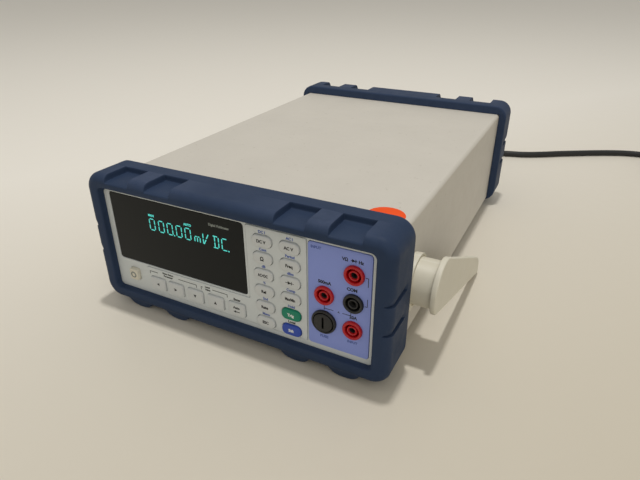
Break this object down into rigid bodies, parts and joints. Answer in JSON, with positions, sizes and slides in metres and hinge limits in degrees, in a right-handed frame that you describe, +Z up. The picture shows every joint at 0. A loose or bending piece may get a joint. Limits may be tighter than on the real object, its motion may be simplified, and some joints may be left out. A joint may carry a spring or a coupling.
{
  "type": "digital multimeter",
  "caption": "Bench digital multimeter: flat steel case between two rubber bumpers, bail handle, display, keypad, input jacks and mains lead.",
  "frame": {"origin": "on the surface it stands on, under the middle of the case without its mains lead", "axes": "+Z up, front panel facing -Y, +X to the right seen from the front"},
  "size_m": [0.5094, 0.564, 0.104],
  "materials": {
    "case_paint": "fine-textured light grey paint",
    "bumper_rubber": "matt navy rubber",
    "panel_plastic": "satin light grey moulding",
    "window": "gloss smoked filter",
    "terminal_plate": "satin lavender print",
    "key_grey": "matt silicone",
    "key_green": "matt silicone",
    "key_blue": "matt silicone",
    "handle_cream": "satin cream moulding",
    "jack_red": "gloss red moulding",
    "black_plastic": "satin black moulding",
    "circuit_board": "solder mask",
    "silicone": "matt silicone",
    "steel": "plated steel",
    "copper": "enamelled copper winding",
    "aluminium": "plain extrusion",
    "fuse_glass": "clear cartridge",
    "cord_black": "matt black sheath"
  },
  "bodies": {
    "case": {"top_cover": "case_paint", "bottom_chassis": "case_paint", "rear_panel": "case_paint", "front_bumper": "bumper_rubber", "rear_bumper": "bumper_rubber", "front_panel": "panel_plastic", "display_window": "window", "display_module": "window", "terminal_plate": "terminal_plate", "handle_hub_left": "handle_cream", "handle_hub_right": "handle_cream", "jack_volts": "jack_red", "jack_20_amp": "jack_red", "jack_milliamp": "jack_red", "jack_common": "black_plastic", "fuse_holder": "black_plastic", "power_switch": "black_plastic", "power_inlet": "black_plastic", "filter_capacitor": "black_plastic", "mains_connector": "black_plastic", "mains_plug": "black_plastic", "key_board": "circuit_board", "main_board": "circuit_board", "key_mat": "silicone", "pivot_bolt_left": "steel", "pivot_bolt_right": "steel", "transformer_core": "steel", "data_port": "steel", "transformer_coil": "copper", "heat_sink": "aluminium", "mains_lead": "cord_black", "lead_coil": "cord_black", "lead_end": "cord_black"},
    "key_dc_volts": {"key_dc_volts": "key_grey"},
    "key_ac_volts": {"key_ac_volts": "key_grey"},
    "key_ohms": {"key_ohms": "key_grey"},
    "key_frequency": {"key_frequency": "key_grey"},
    "key_ac_plus_dc": {"key_ac_plus_dc": "key_grey"},
    "key_diode": {"key_diode": "key_grey"},
    "key_relative": {"key_relative": "key_grey"},
    "key_max_min": {"key_max_min": "key_grey"},
    "key_rate": {"key_rate": "key_grey"},
    "key_trigger": {"key_trigger": "key_green"},
    "key_escape": {"key_escape": "key_grey"},
    "key_shift": {"key_shift": "key_blue"},
    "key_left": {"key_left": "key_grey"},
    "key_right": {"key_right": "key_grey"},
    "key_down": {"key_down": "key_grey"},
    "key_up": {"key_up": "key_grey"},
    "key_auto": {"key_auto": "key_grey"},
    "power_button": {"power_button": "handle_cream", "switch_rod": "black_plastic"},
    "fuse_cap": {"fuse_cap": "black_plastic", "input_fuse": "fuse_glass"},
    "fuse_drawer": {"fuse_drawer": "black_plastic"},
    "voltage_selector": {"voltage_selector": "jack_red"},
    "handle": {"handle_arm_left": "handle_cream", "handle_arm_right": "handle_cream", "handle_bar": "handle_cream"}
  },
  "joints": [
    {"name": "handle_swing", "type": "hinge", "parent": "case", "child": "handle", "pos_m": [0, -0.1212, 0.053], "axis": [-1, 0, 0], "range_deg": [0, 300]},
    {"name": "power_press", "type": "slide", "parent": "case", "child": "power_button", "axis": [0, 1, 0], "range_m": [0, 0.0025], "stiffness_N_per_m": 600},
    {"name": "press_dc_volts", "type": "slide", "parent": "case", "child": "key_dc_volts", "axis": [0, 1, 0], "range_m": [0, 0.0012], "stiffness_N_per_m": 500},
    {"name": "press_ac_volts", "type": "slide", "parent": "case", "child": "key_ac_volts", "axis": [0, 1, 0], "range_m": [0, 0.0012], "stiffness_N_per_m": 500},
    {"name": "press_ohms", "type": "slide", "parent": "case", "child": "key_ohms", "axis": [0, 1, 0], "range_m": [0, 0.0012], "stiffness_N_per_m": 500},
    {"name": "press_frequency", "type": "slide", "parent": "case", "child": "key_frequency", "axis": [0, 1, 0], "range_m": [0, 0.0012], "stiffness_N_per_m": 500},
    {"name": "press_ac_plus_dc", "type": "slide", "parent": "case", "child": "key_ac_plus_dc", "axis": [0, 1, 0], "range_m": [0, 0.0012], "stiffness_N_per_m": 500},
    {"name": "press_diode", "type": "slide", "parent": "case", "child": "key_diode", "axis": [0, 1, 0], "range_m": [0, 0.0012], "stiffness_N_per_m": 500},
    {"name": "press_relative", "type": "slide", "parent": "case", "child": "key_relative", "axis": [0, 1, 0], "range_m": [0, 0.0012], "stiffness_N_per_m": 500},
    {"name": "press_max_min", "type": "slide", "parent": "case", "child": "key_max_min", "axis": [0, 1, 0], "range_m": [0, 0.0012], "stiffness_N_per_m": 500},
    {"name": "press_rate", "type": "slide", "parent": "case", "child": "key_rate", "axis": [0, 1, 0], "range_m": [0, 0.0012], "stiffness_N_per_m": 500},
    {"name": "press_trigger", "type": "slide", "parent": "case", "child": "key_trigger", "axis": [0, 1, 0], "range_m": [0, 0.0012], "stiffness_N_per_m": 500},
    {"name": "press_escape", "type": "slide", "parent": "case", "child": "key_escape", "axis": [0, 1, 0], "range_m": [0, 0.0012], "stiffness_N_per_m": 500},
    {"name": "press_shift", "type": "slide", "parent": "case", "child": "key_shift", "axis": [0, 1, 0], "range_m": [0, 0.0012], "stiffness_N_per_m": 500},
    {"name": "press_left", "type": "slide", "parent": "case", "child": "key_left", "axis": [0, 1, 0], "range_m": [0, 0.0012], "stiffness_N_per_m": 500},
    {"name": "press_right", "type": "slide", "parent": "case", "child": "key_right", "axis": [0, 1, 0], "range_m": [0, 0.0012], "stiffness_N_per_m": 500},
    {"name": "press_down", "type": "slide", "parent": "case", "child": "key_down", "axis": [0, 1, 0], "range_m": [0, 0.0012], "stiffness_N_per_m": 500},
    {"name": "press_up", "type": "slide", "parent": "case", "child": "key_up", "axis": [0, 1, 0], "range_m": [0, 0.0012], "stiffness_N_per_m": 500},
    {"name": "press_auto", "type": "slide", "parent": "case", "child": "key_auto", "axis": [0, 1, 0], "range_m": [0, 0.0012], "stiffness_N_per_m": 500},
    {"name": "fuse_cap_turn", "type": "hinge", "parent": "case", "child": "fuse_cap", "pos_m": [0.0694, -0.165, 0.0376], "axis": [0, -1, 0], "range_deg": [0, 90]},
    {"name": "fuse_drawer_slide", "type": "slide", "parent": "case", "child": "fuse_drawer", "axis": [0, 1, 0], "range_m": [0, 0.015]},
    {"name": "voltage_selector_slide", "type": "slide", "parent": "case", "child": "voltage_selector", "axis": [1, 0, 0], "range_m": [0, 0.004]}
  ]
}
